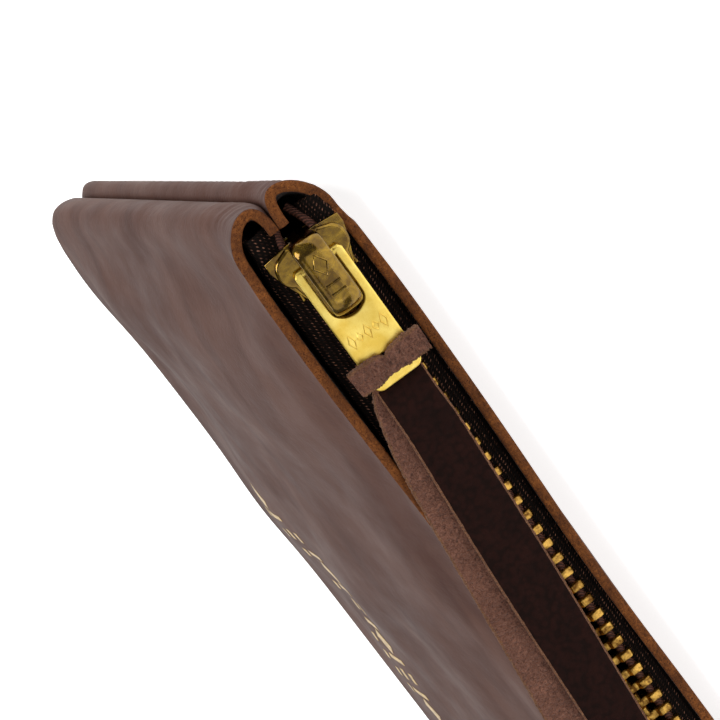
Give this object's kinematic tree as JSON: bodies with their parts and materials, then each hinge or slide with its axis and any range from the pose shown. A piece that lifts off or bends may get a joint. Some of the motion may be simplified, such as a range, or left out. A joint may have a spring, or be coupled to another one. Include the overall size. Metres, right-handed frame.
{
  "type": "zippered leather pouch",
  "caption": "Flat leather pouch with turned seams and a metal zipper along one edge, with a sliding brass slider, a tilting puller and a leather pull strap.",
  "frame": {"origin": "middle of the flat outer face of the back panel, on which the pouch lies", "axes": "+X along the zipper from the slider end to the far end, +Y from the bottom seam to the mouth, +Z out of the front face"},
  "size_m": [0.15, 0.0962, 0.0209],
  "materials": {
    "leather_grain": "satin",
    "strap_leather": "satin",
    "suede": "matte",
    "tape": "matte",
    "thread": "satin",
    "antique_brass": "satin",
    "dark_brass": "polished",
    "bright_brass": "brushed"
  },
  "bodies": {
    "pouch": {"front_panel": "leather_grain", "back_panel": "leather_grain", "tape_front": "tape", "tape_back": "tape", "bead_cord_front": "tape", "bead_cord_back": "tape", "teeth_front": "antique_brass", "teeth_back": "antique_brass", "top_stop_front": "antique_brass", "top_stop_back": "antique_brass", "bottom_stop": "antique_brass", "zipper_stitches_front": "thread", "zipper_stitches_back": "thread", "side_stitches_slider_end": "thread", "side_stitches_far_end": "thread", "bottom_stitches": "thread"},
    "slider": {"slider_body": "dark_brass", "slider_crown": "dark_brass"},
    "pawl": {"lock_pawl": "antique_brass"},
    "pull": {"puller": "bright_brass", "strap_knot": "suede"},
    "strap": {"strap_tail_top": "strap_leather", "strap_tail_under": "suede"}
  },
  "joints": [
    {"name": "slider_slide", "type": "slide", "parent": "pouch", "child": "slider", "axis": [1, 0, 0], "range_m": [0, 0.125], "deforming": ["teeth_front", "teeth_back"]},
    {"name": "puller_tilt", "type": "hinge", "parent": "slider", "child": "pull", "pos_m": [-0.0672, 0.04741, 0.00908], "axis": [0, -0.2419, 0.9703], "range_deg": [0, 120]},
    {"name": "strap_bend", "type": "hinge", "parent": "pull", "child": "strap", "pos_m": [-0.0507, 0.04741, 0.00908], "axis": [0, -0.2419, 0.9703], "range_deg": [0, 50]},
    {"name": "pawl_lift", "type": "hinge", "parent": "slider", "child": "pawl", "pos_m": [-0.0692, 0.04823, 0.00928], "axis": [0, -0.2419, 0.9703], "range_deg": [0, 3]}
  ],
  "couplings": [
    {"joint": "pawl_lift", "follows": "puller_tilt", "ratio": 0.025}
  ]
}
